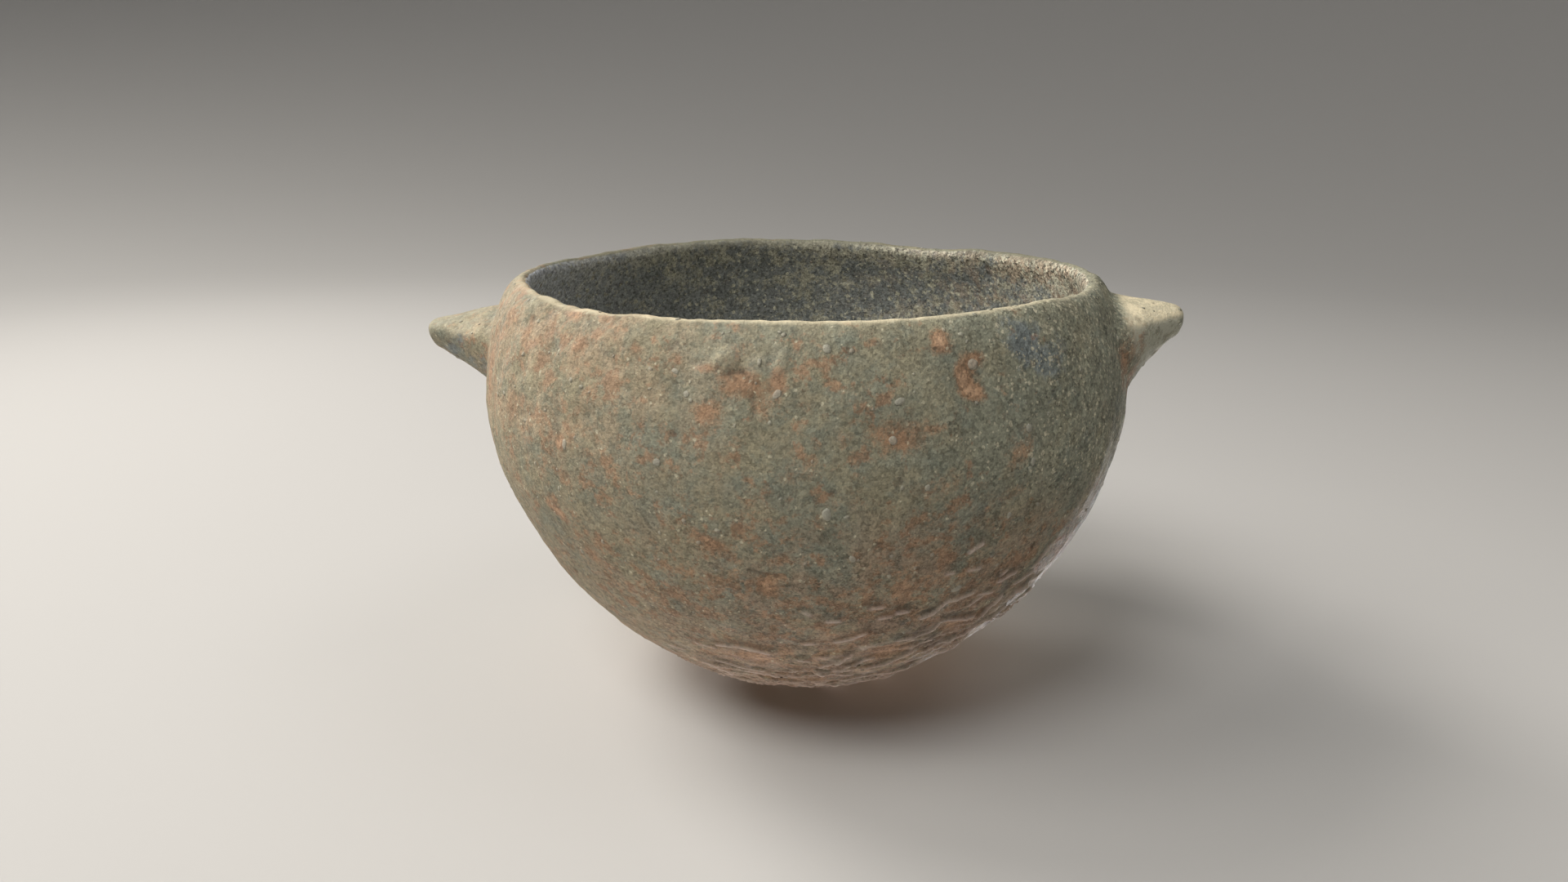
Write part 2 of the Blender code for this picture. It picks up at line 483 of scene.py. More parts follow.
def writePoints(mesh, points):
    mesh.vertices.foreach_set("co", points.ravel())
    mesh.update()


def addField(piece, name, values):
    # A number on each vertex, for the finish to read
    layer = piece.data.attributes.new(name, "FLOAT", "POINT")
    layer.data.foreach_set("value", values.astype(np.float32))


def nearestTree(points):
    tree = KDTree(len(points))
    for index, point in enumerate(points):
        tree.insert(point, index)
    tree.balance()
    return tree


def evenOut(mesh, points, rounds, amount, back):
    # Rounds of smoothing, each followed by a push back that keeps the size
    ends = np.empty(len(mesh.edges) * 2, dtype=int)
    mesh.edges.foreach_get("vertices", ends)
    first, second = ends.reshape(-1, 2).T
    count = len(points)
    links = np.bincount(first, minlength=count) + np.bincount(second, minlength=count)
    for step in range(rounds * 2):
        pull = amount if step % 2 == 0 else -back
        total = np.empty_like(points)
        for axis in range(3):
            values = points[:, axis]
            total[:, axis] = np.bincount(first, values[second], count)
            total[:, axis] += np.bincount(second, values[first], count)
        points = points + pull * (total / links[:, None] - points)
    return points


def makeFinder(node):
    # Finds the point of the outer wall at an azimuth and a height
    corners = [vertex.co for vertex in node.data.vertices]
    tree = BVHTree.FromPolygons(corners, [face.vertices for face in node.data.polygons])
    farOut = 0.3  # well outside the bowl

    def find(azimuth, height):
        turn = math.radians(azimuth)
        outward = Vector((math.cos(turn), math.sin(turn), 0.0))
        place, normal = tree.ray_cast(outward * farOut + Vector((0.0, 0.0, height)), -outward)[:2]
        return np.array(place), np.array(normal)

    return find


def localFrame(place, normal, turn):
    # Directions along and across a mark that lies on the surface, turned from level
    normal = normal / np.linalg.norm(normal)
    level = np.array((-place[1], place[0], 0.0))
    level /= np.linalg.norm(level)
    up = np.cross(normal, level)
    up *= math.copysign(1.0, up[2])
    angle = math.radians(turn)
    along = level * math.cos(angle) + up * math.sin(angle)
    across = up * math.cos(angle) - level * math.sin(angle)
    return along, across, normal


def markStrength(points, place, normal, halfLength, halfWidth, turn):
    # 1 in the middle of an oval mark and less towards its edge
    along, across, outward = localFrame(place, normal, turn)
    away = points - place
    share = (away @ along / halfLength) ** 2 + (away @ across / halfWidth) ** 2
    share += (away @ outward / max(halfLength, lumpShape["leastDepth"])) ** 2
    return np.exp(-share)


def lineDistance(points, start, end):
    run = end - start
    share = np.clip((points - start) @ run / (run @ run), 0.0, 1.0)
    return np.linalg.norm(points - start - share[:, None] * run, axis=1)


def lineStrength(points, ends, halfWidth):
    # 1 on a bent line and less to its sides
    strength = np.zeros(len(points))
    for start, end in zip(ends, ends[1:]):
        strength = np.maximum(strength, bell(lineDistance(points, start, end) / halfWidth))
    return strength


def insideShare(points, normals):
    # 1 on the inner wall and 0 on the outer one, told by which way the surface faces
    away = points - np.array(bowl["centre"])
    facing = (away * normals).sum(axis=1) / np.linalg.norm(away, axis=1)
    inner = 1.0 - smoothStep(facing, *bowl["innerFacing"])
    outermost = np.hypot(points[:, 0], points[:, 1]) > bowl["lipRadius"]
    inner[outermost] *= smoothStep(-facing[outermost], *bowl["lipFacing"])
    return inner


def handRelief(points, inner, lip):
    # Broad swells, and finer lumps that also change the tone
    height = points[:, 2]
    broad, rise = np.zeros((2, len(points)))
    calm = 1.0 - bowl["innerCalm"] * inner * (1.0 - smoothStep(height, *bowl["innerCalmHeights"]))
    for size, amount, seed in bowl["handLumps"]:
        swell = amount * calm * softNoise(points, size, seed)
        if size > bowl["broadFrom"]:
            broad += swell
        else:
            rise += swell
    # The shoulder on the left is lumpier, and so is the lip
    shoulder = bell((azimuths(points) - bowl["shoulderTurn"]) / bowl["shoulderSpread"])
    shoulder *= smoothStep(height, *bowl["shoulderHeights"])
    shoulder *= 1.0 - inner
    for size, amount, seed in bowl["shoulderLumps"]:
        rise += amount * shoulder * softNoise(points, size, seed)
    rise += sum(amount * lip * softNoise(points, size, seed) for size, amount, seed in bowl["lipLumps"])
    return broad, rise


def addLumps(points, find, outer, rise):
    # Adds the larger lumps and dents to the rise, and returns how high up a lump each vertex is
    lumpTop = np.zeros(len(points))
    noise = softNoise(points, lumpShape["unevenSize"], lumpShape["unevenSeed"])
    uneven = lumpShape["evenShare"] + lumpShape["unevenShare"] * noise
    for turn, up, halfLength, halfWidth, tilt, lift in lumps:
        spot, normal = find(turn, up * mm)
        strength = markStrength(points, spot, normal, halfLength * mm, halfWidth * mm, tilt)
        if lift > 0.0:
            # Uneven, with steep sides
            strength = smoothStep(strength, *lumpShape["sides"]) * uneven
            lumpTop = np.maximum(lumpTop, strength * outer * min(lift, 1.0))
        rise += lift * mm * strength * outer
    return lumpTop


def raiseRidges(points, find):
    # Each ridge has a shallow trough above it
    rise, crest, groove = np.zeros((3, len(points)))
    for line, height in ridges:
        ends = [find(turn, up * mm)[0] for turn, up in line]
        above = [find(turn, (up + ridgeShape["troughUp"]) * mm)[0] for turn, up in line]
        top = lineStrength(points, ends, ridgeShape["halfWidth"])
        trough = lineStrength(points, above, ridgeShape["troughHalfWidth"])
        sink = ridgeShape["troughShare"] * height * mm * trough * (1.0 - top)
        rise = np.maximum(rise, height * mm * top) - sink
        top = top ** ridgeShape["crestPower"]
        crest = np.maximum(crest, top * min(height / ridgeShape["fullCrest"], 1.0))
        groove = np.maximum(groove, trough * min(height / ridgeShape["fullGroove"], 1.0))
    return rise, crest, groove * (1.0 - crest)


def crackDepths(points, find):
    deepest = np.zeros(len(points))
    for line, halfWidth, depth in cracks:
        ends = [find(turn, up * mm)[0] for turn, up in line]
        near = lineStrength(points, ends, halfWidth * mm)
        deepest = np.maximum(deepest, near * depth * mm)
    return deepest


def pitDepths(points):
    # Small rounded pits at random spots: how deep each vertex sinks, and how far it is inside a pit
    tree = nearestTree(points)
    random = np.random.default_rng(bowl["pitSeed"])
    spots = points[random.integers(0, len(points), bowl["pits"])]
    radii = random.uniform(*bowl["pitRadius"], bowl["pits"])
    depths = random.uniform(*bowl["pitDepth"], bowl["pits"])
    sunk, cover = np.zeros((2, len(points)))
    for spot, radius, deepest in zip(spots, radii, depths):
        for place, index, distance in tree.find_range(Vector(spot), radius * bowl["pitReach"]):
            share = math.exp(-((distance / radius) ** bowl["pitSteepness"]))
            sunk[index] = max(sunk[index], deepest * share)
            cover[index] = max(cover[index], share)
    return sunk, cover


# Painted light on the lugs and the lip. Pairs say where something starts and where it is full
paintedLight = {
    "wallRadius": 0.0992,  # just below the shoulder, which bends in above the shoulder height
    "shoulderHeight": 0.110,
    "shoulderBend": 15.5,
    "lugStandOff": (0.0006, 0.0042),
    "lugHeights": (0.092, 0.108),
    "lugTopFacing": (0.0, 0.7),
    "lugFrontFacing": (0.10, 0.60),
    "leftLugShare": 0.22,
    "lipFacing": (0.82, 0.98),
    "lipTurn": -98.0,
    "lipSpread": 62.0,
    "backLipDrops": (0.0032, 0.0012),  # below the rim
    "backLipDepths": (0.005, 0.040),
}


def paintedLightFields(points, normals, lip):
    # Painted highlight on the crest of the lip in front and the tops of the lugs, painted light on the
    # front of the right lug, painted shade on the back of the lip
    height = points[:, 2]
    onRight = points[:, 0] > 0.0
    bend = paintedLight["shoulderBend"] * np.maximum(height - paintedLight["shoulderHeight"], 0.0) ** 2
    standOff = np.hypot(points[:, 0], points[:, 1]) - (paintedLight["wallRadius"] - bend)
    onLug = smoothStep(standOff, *paintedLight["lugStandOff"]) * smoothStep(height, *paintedLight["lugHeights"])
    lugTop = onLug * smoothStep(normals[:, 2], *paintedLight["lugTopFacing"])
    lugTop *= np.where(onRight, 1.0, paintedLight["leftLugShare"])
    lipTop = lip * smoothStep(normals[:, 2], *paintedLight["lipFacing"])
    lipTop *= bell((azimuths(points) - paintedLight["lipTurn"]) / paintedLight["lipSpread"])
    # Painted shade on the back of the lip, just under the rim
    low, high = (bowl["rimHeight"] - drop for drop in paintedLight["backLipDrops"])
    backLip = smoothStep(height, low, high) * smoothStep(points[:, 1], *paintedLight["backLipDepths"])
    return {
        "worn": np.maximum(lipTop, lugTop),
        "rightLug": onLug * onRight * smoothStep(-normals[:, 1], *paintedLight["lugFrontFacing"]),
        "backLip": backLip * (1.0 - onLug),
    }


def shapeBowl(piece, find):
    mesh = piece.data
    points = evenOut(mesh, readPoints(mesh), *bowl["smoothing"])
    writePoints(mesh, points)
    normals = readNormals(mesh)
    inner = insideShare(points, normals)
    outer = 1.0 - inner
    lip = smoothStep(points[:, 2], bowl["rimHeight"] - bowl["lipBand"], bowl["rimHeight"])
    broad, rise = handRelief(points, inner, lip)

    mask = wrinkleMask(points) * outer
    crest, dent, groove, swell = wrinkleLines(points)
    rise += mask * (wrinkles["rise"] * crest - wrinkles["dent"] * dent)
    broad += mask * wrinkles["swell"] * swell

    lumpTop = addLumps(points, find, outer, rise)
    ridgeRise, ridgeCrest, ridgeGroove = raiseRidges(points, find)
    rise += ridgeRise * outer
    crackDepth = crackDepths(points, find)
    rise -= crackDepth
    sunk, pit = pitDepths(points)
    rise -= sunk
    raised = np.clip(rise / bowl["fullRise"], -1.0, 1.0) * outer
    rise += broad
    print("relief worked out on", len(points), "vertices")

    shaped = points + normals * rise[:, None]
    shaped[:, 2] = np.maximum(shaped[:, 2], 0.0)
    writePoints(mesh, shaped)
    fields = {
        "inner": inner,
        "grit": lumpTop * lumpShape["paleness"],
        # Painted highlight on high points and crests, painted shade in hollows, pits, cracks and grooves
        "raised": raised,
        "pit": np.maximum(pit, crackDepth / fullCrack),
        "groove": np.maximum(groove * mask * wrinkles["grooveTone"], ridgeGroove * outer),
        "crest": np.maximum(crest * mask * wrinkles["crestTone"], ridgeCrest * outer),
    }
    fields.update(paintedLightFields(points, normals, lip))
    return shaped, fields


def thinOut(piece, target, group=""):
    # Collapses edges until the target is reached, only where the group is if one is named
    piece.data.calc_loop_triangles()
    count = len(piece.data.loop_triangles)
    thin = piece.modifiers.new("thin", "DECIMATE")
    thin.ratio = target / count
    thin.use_collapse_triangulate = True
    thin.vertex_group = group
    applyModifiers(piece)
    print("triangles", count, "to", len(piece.data.polygons))


def lightenMesh(piece):
    # First evenly, then only where the finish is plainer: inside and at the back
    thinOut(piece, bowl["firstTriangles"])
    points = readPoints(piece.data)
    normals = readNormals(piece.data)
    away = points - np.array(bowl["centre"])
    plainer = (points[:, 1] > bowl["plainBehind"]) | ((away * normals).sum(axis=1) < 0.0)
    group = piece.vertex_groups.new(name="plainer")
    group.add([int(index) for index in np.flatnonzero(plainer)], 1.0, "REPLACE")
    thinOut(piece, bowl["triangles"], group.name)
    piece.vertex_groups.clear()


def carryFields(piece, dense, fields):
    # The thinned mesh takes each value from the nearest vertex of the dense one
    tree = nearestTree(dense)
    nearest = [tree.find(vertex.co)[1] for vertex in piece.data.vertices]
    for name, values in fields.items():
        addField(piece, name, values[nearest])


def roundStone(fineness):
    # Corners and faces of a ball of radius 1
    mesh = bmesh.new()
    bmesh.ops.create_icosphere(mesh, subdivisions=fineness, radius=1.0)
    corners = [vert.co.copy() for vert in mesh.verts]
    faces = [[vert.index for vert in face.verts] for face in mesh.faces]
    mesh.free()
    return corners, faces


def plantGrains(piece, find):
    # Grains of grit set into the surface, each a small uneven stone of its own
    random = np.random.default_rng(bowl["grainSeed"])
    mesh = bmesh.new()
    mesh.from_mesh(piece.data)
    mesh.verts.ensure_lookup_table()
    gritLayer = mesh.verts.layers.float["grit"]
    wall = BVHTree.FromBMesh(mesh)
    small, large = 1, 2  # fineness of the stones
    stones = {fineness: roundStone(fineness) for fineness in (small, large)}
    spots = []
    for azimuth, height, radius, rise in grits:
        spots.append((Vector(find(azimuth, height * mm)[0]), radius * mm, rise * mm, large))
    chosen = random.integers(0, len(mesh.verts), bowl["grains"])
    for index in chosen:
        radius = random.uniform(*bowl["grainRadius"])
        rise = random.uniform(*bowl["grainHeight"])
        spots.append((mesh.verts[int(index)].co.copy(), radius, rise, small))
    for spot, radius, rise, fineness in spots:
        place, normal = wall.find_nearest(spot)[:2]
        along = normal.orthogonal().normalized()
        across = normal.cross(along)
        stretch = random.uniform(*bowl["grainStretch"])
        turn = random.uniform(0.0, math.tau)
        first = along * math.cos(turn) + across * math.sin(turn)
        second = normal.cross(first)
        corners, faces = stones[fineness]
        made = []
        for corner in corners:
            x, y, z = corner * random.uniform(*bowl["grainUneven"])
            # Half sunk: the top stands out by the rise, the rest is inside the wall
            up = z * rise if z > 0.0 else z * radius * bowl["grainSink"]
            spread = first * (x * radius * stretch) + second * (y * radius / stretch)
            vert = mesh.verts.new(place + spread + normal * up)
            vert[gritLayer] = 1.0 if fineness == large else bowl["grainPaleness"]
            made.append(vert)
        for face in faces:
            mesh.faces.new([made[index] for index in face]).smooth = True
    mesh.to_mesh(piece.data)
    mesh.free()
    print("grains planted", len(spots))


def keepAboveFloor(piece):
    # Grains at the base don't stick out below the flat spot that the bowl rests on
    points = readPoints(piece.data)
    points[:, 2] = np.maximum(points[:, 2], 0.0)
    writePoints(piece.data, points)


# Stains on the outside: azimuth, height in mm, half-length and half-width in mm, turn, strength
redStains = (
    (-71, 130, 3, 3.5, 0, 1.3),
    (-66, 125, 3.5, 2, 20, 1.2),
    (-68, 121, 2.5, 4, 0, 1.4),
    (-67, 118, 4.5, 2.5, -25, 1.3),
    (-78, 109, 8.5, 5, -5, 0.85),
    (-73, 110, 5, 2, 15, 0.75),
    (-86, 109, 2, 3.5, 0, 0.6),
    (-100, 121, 8, 4.5, 10, 0.92),
    (-105, 124, 5, 1.5, 5, 0.9),
    (-95, 122, 3, 4.5, 0, 0.98),
    (-101, 128, 1.5, 4, 10, 0.65),
    (-105, 114, 4.5, 4.5, 0, 0.85),
    (-97, 116, 3, 5, 0, 0.7),
    (-130, 101, 2.5, 3, 0, 1.2),
    (-124, 101, 3.5, 2.5, 0, 0.55),
    (-143, 127, 3, 5, 0, 0.75),
    (-136, 128, 2.5, 4.5, 0, 0.6),
    (-128, 126, 4, 3, 20, 0.8),
    (-117, 127, 3, 2.5, 0, 0.85),
    (-132, 132, 6, 2.5, 0, 0.8),
    (-124, 133, 5, 2, 0, 0.7),
    (-133, 123, 3, 4, 10, 0.55),
    (-158, 112, 4.5, 16, 0, 0.85),
    (-153, 104, 4, 8, 0, 0.7),
    (-144, 105, 4, 6, -25, 0.8),
    (-134, 80, 7, 2.5, -40, 1.2),
    (-131, 76, 4, 2, -40, 0.6),
    (-129, 68, 5, 3.5, -35, 0.75),
    (-130, 93, 3, 2, 0, 0.55),
    (-116, 99, 3.5, 2, 0, 0.4),
    (-117, 93, 4.5, 3, 0, 0.4),
    (-105, 81, 8, 2.5, -35, 1),
    (-102, 77, 4, 2.5, -30, 0.8),
    (-97, 68, 4.5, 4.5, 0, 1.05),
    (-95, 76, 3.5, 3, 0, 0.85),
    (-92, 85, 3.5, 3, 0, 0.55),
    (-102, 38, 10, 5, 5, 1.1),
    (-73, 40, 9, 6, 10, 1),
    (-101, 50, 3.5, 2.5, 0, 0.6),
    (-84, 93, 7, 3.5, 10, 0.5),
    (-59, 102, 6, 7, 0, 0.6),
    (-72, 96, 8, 5, 10, 0.5),
    (-93, 101, 8, 6, 10, 0.5),
    (-60, 90, 10, 3, 15, 0.6),
    (-13, 113, 8, 12, 0, 0.4),
    (-24, 113, 6, 9, 0, 0.95),
    (-19, 98, 4, 30, 0, 0.9),
    (-21, 121, 3, 9, 0, 1),
)
# Dark smoky patches, the same way
darkStains = (
    (-56, 128, 8, 7, -15, 1.1),
    (-52, 123, 8, 6, -20, 0.95),
    (-48, 126, 4, 5, 0, 0.6),
    (-50, 114, 9, 7, 0, 0.45),
    (-63, 89, 9, 6, 30, 0.45),
    (-42, 98, 9, 8, 0, 0.4),
    (-118, 118, 6, 4, 0, 0.25),
    (-175, 110, 10, 5, 0, 0.66),
    (-170, 107, 8, 6, 0, 0.62),
    (-97, 90, 8, 4, 0, 0.3),
    (-68, 52, 16, 7, 15, 0.45),
)

# Regions of the outside: strength, azimuth and spread, heights in mm where it starts and is full
regions = {
    "warm": (
        (0.9, (-140.0, 38.0), (80.0, 118.0)),
        (0.45, (-154.0, 30.0), None),
        (0.75, None, (66.0, 22.0)),
    ),
    "speckled": (
        (1.0, (-38.0, 34.0), (74.0, 100.0)),
        (0.5, (40.0, 60.0), (60.0, 100.0)),
    ),
    "brown": (
        (1.0, (-70.0, 58.0), (106.0, 60.0)),
        (0.6, None, (45.0, 10.0)),
    ),
}
# The lugs are less warm than the wall
lugCool = {"share": 0.5, "radii": (0.1000, 0.1035)}

# Regions of the inside, which fade out towards the middle of the floor: azimuth and spread
innerSides = {"innerRight": (12.0, 48.0), "innerLeft": (180.0, 38.0)}
innerWallRadii = (0.030, 0.085)
innerTopHeights = (0.121, 0.131)


def stainFields(piece, find):
    # Where the stains lie on the finished surface, as soft strengths for the finish to break up
    points = readPoints(piece.data)
    inner = np.empty(len(points), dtype=np.float32)
    piece.data.attributes["inner"].data.foreach_get("value", inner)
    for name, stains in (("redStain", redStains), ("darkStain", darkStains)):
        total = np.zeros(len(points))
        for turn, up, halfLength, halfWidth, tilt, strength in stains:
            spot, normal = find(turn, up * mm)
            mark = markStrength(points, spot, normal, halfLength * mm, halfWidth * mm, tilt)
            total = np.maximum(total, strength * mark)
        addField(piece, name, total * (1.0 - inner))


def regionFields(piece):
    points = readPoints(piece.data)
    azimuth = azimuths(points)
    height = points[:, 2] / mm
    radius = np.hypot(points[:, 0], points[:, 1])
    for name, rows in regions.items():
        total = np.zeros(len(points))
        for strength, arc, heights in rows:
            part = np.full(len(points), strength)
            if arc:
                part *= around(azimuth, *arc)
            if heights:
                part *= smoothStep(height, *heights)
            total += part
        if name == "warm":
            total *= 1.0 - lugCool["share"] * smoothStep(radius, *lugCool["radii"])
        addField(piece, name, np.clip(total, 0.0, 1.0))
    upWall = smoothStep(radius, *innerWallRadii)
    for name, arc in innerSides.items():
        addField(piece, name, upWall * around(azimuth, *arc))
    addField(piece, "innerTop", smoothStep(points[:, 2], *innerTopHeights))


# Finish

clay = {
    "khaki": (0.265, 0.242, 0.162, 1),
    "greenGrey": (0.216, 0.22, 0.164, 1),
    "peach": (0.345, 0.27, 0.178, 1),
    "brown": (0.3, 0.22, 0.152, 1),
    "dusk": (0.245, 0.247, 0.182, 1),
    "smoke": (0.182, 0.21, 0.212, 1),
    "verdigris": (0.195, 0.212, 0.168, 1),
    "orange": (0.338, 0.203, 0.117, 1),
    "deepOrange": (0.282, 0.158, 0.091, 1),
    "brightOrange": (0.51, 0.322, 0.198, 1),
    "salmon": (0.372, 0.24, 0.152, 1),
    "sand": (0.5, 0.46, 0.335, 1),
    # Painted highlight, laid on high points
    "highPoint": (0.43, 0.38, 0.25, 1),
    # Painted shade, laid in hollows, pits, cracks and grooves
    "soil": (0.085, 0.068, 0.052, 1),
    "slate": (0.205, 0.218, 0.208, 1),
    "olive": (0.4, 0.385, 0.295, 1),
    "olivePale": (0.5, 0.48, 0.37, 1),
    # Painted light for the inner left wall
    "bluish": (0.66, 0.68, 0.72, 1),
    "innerBrown": (0.37, 0.285, 0.205, 1),
    # Painted light for the front flank of the right lug
    "flank": (0.45, 0.445, 0.355, 1),
    # Painted highlight for the lip crest and the lug tops
    "cream": (0.73, 0.64, 0.445, 1),
    # Painted shade for the back of the lip
    "lipOlive": (0.165, 0.158, 0.112, 1),
    "paleGrit": (0.4, 0.385, 0.32, 1),
    # Painted highlight, laid on the crests of ridges and wrinkles
    "rubbed": (0.64, 0.515, 0.45, 1),
}

# Cloudy patterns: size in metres, detail, roughness, seed
patterns = {
    "green": (0.022, 6, 0.72, 1),
    "dusk": (0.007, 5, 0.8, 2),
    "smoke": (0.006, 5, 0.8, 3),
    "peach": (0.01, 5, 0.75, 5),
    "brown": (0.014, 5, 0.78, 6),
    "broadFlecks": (0.013, 4, 0.8, 7),
    "ragged": (0.0065, 5, 0.85, 8),
    "verdigris": (0.007, 4, 0.72, 10),
    "olive": (0.0045, 4, 0.8, 11),
    "broadOlive": (0.022, 3, 0.55, 12),
    "innerBrown": (0.006, 4, 0.8, 13),
    "innerEdge": (0.005, 4, 0.6, 21),
    "roughness": (0.004, 4, 0.6, 22),
    "fineBump": (0.001, 3, 0.7, 23),
    "coarseBump": (0.003, 3, 0.6, 24),
    "cream": (0.006, 5, 0.85, 25),
    "flank": (0.005, 4, 0.85, 26),
    "fineFlecks": (0.005, 4, 0.75, 27),
    "specks": (0.008, 4, 0.8, 28),
    "patches": (0.01, 4, 0.65, 31),
}

# How patterns and fields turn into shares: where one starts and is full, its least and its most
shares = {
    "green": (0.42, 0.58, 0, 1),
    "peach": (0.42, 0.58, 0.15, 1),
    "brown": (0.43, 0.57, 0.25, 1),
    "dusk": (0.42, 0.58, 0.35, 0.85),
    "smoke": (0.38, 0.8, 0, 0.84),
    "highPoint": (0.15, 1, 0, 0.42),
    "hollow": (-0.15, -1, 0, 0.38),
    "verdigris": (0.49, 0.63, 0, 0.58),
    "stains": (0.25, 0.95, 0, 0.9),
    "flecks": (0.52, 0.67, 0, 0.7),
    "orange": (-0.1, 0.12, 0, 1),
    "brightOrange": (0.75, 1.2, 0, 1),
    "speckedWall": (0.4, 0.95, 0, 1),
    "specks": (0.42, 0.56, 0.35, 1),
    "speckedSmoke": (0.4, 0.9, 0, 0.15),
    "olive": (0.5, 0.64, 0, 0.9),
    "innerBrown": (0.48, 0.6, 0, 0.85),
    "innerEdge": (0.4, 0.75, 0, 1),
    "cream": (0.42, 0.58, 0.55, 1),
    "flank": (0.42, 0.58, 0.25, 1),
    "roughness": (0.3, 0.7, 0.66, 0.9),
}

# Strengths. A line named after two things says how much the first changes the second
finish = {
    "warmOnGreen": -0.06,
    "raggedOnSmoke": 2.0,
    "warmOnVerdigris": -0.45,
    "raggedOnStains": 2.4,
    "broadOnFlecks": 0.9,
    "speckledOnFlecks": -0.16,
    "warmOnFlecks": 0.030,
    "brownOnFlecks": 0.058,
    "warmOnSalmon": 0.55,
    "contrast": 1.08,
    "speckledOnContrast": 0.6,
    "brownOnContrast": 0.4,
    "patches": 0.25,
    "speckledOnPatches": 1.0,
    "brownOnPatches": 1.3,
    "broadOnOlive": 0.5,
    "rightOnOlive": 0.07,
    "topOnOlive": 0.08,
    # Strength of the painted light on the inner left wall
    "bluish": 0.80,
    "topOnInnerBrown": 0.06,
    "innerSpecks": 0.26,
    "topOnInnerSpecks": 0.12,
    "rightOnInnerSpecks": 0.34,
    "innerContrast": 1.9,
    "rightOnInnerContrast": 1.6,
    "innerEdge": 0.6,
    "shine": 0.35,
    "coarseBump": 0.8,
    "bumpStrength": 0.8,
    "bumpDepth": 0.0006,
}

# Pale specks: spacing in metres, share of cells with one at least, share more where it is thick, strength
outsideSpecks = ((0.0019, 0.00, 0.55, 0.84), (0.0012, 0.07, 0.60, 0.68))
insideSpecks = ((0.0024, 0.00, 1.00, 0.85), (0.0014, 0.00, 1.00, 0.75))
speck = {
    "swirl": 2.0,
    "detail": 2.0,
    "bend": 0.7,
    "radius": 0.18,  # in spacings
    "moreRadius": 0.24,
    "edge": 0.04,
    "chanceEdge": 0.02,
}

# Sandy grain: spacing and strength of its two sizes, and size, detail and roughness of a cloudiness
sand = {
    "coarse": (0.0011, 0.35),
    "fine": (0.0005, 0.35),
    "cloud": (0.0006, 3.0, 0.7),
    "cloudTone": 0.30,
    "outsideSeed": 3.0,
    "insideSeed": 9.0,
    "fineSeedStep": 2.0,
    "seedWays": (1.0, 0.7, 1.3),
}

# Tints laid over all the others: field, colour, strength. Apart from the grit, they are painted light:
# painted shade on the back of the lip, a painted highlight on crests, painted shade in pits, cracks and
# grooves
tints = (
    # Painted shade on the back of the lip
    ("backLip", "lipOlive", 0.65),
    ("grit", "paleGrit", 0.65),
    ("crest", "rubbed", 0.88),
    ("pit", "soil", 0.45),
    ("groove", "soil", 0.48),
)


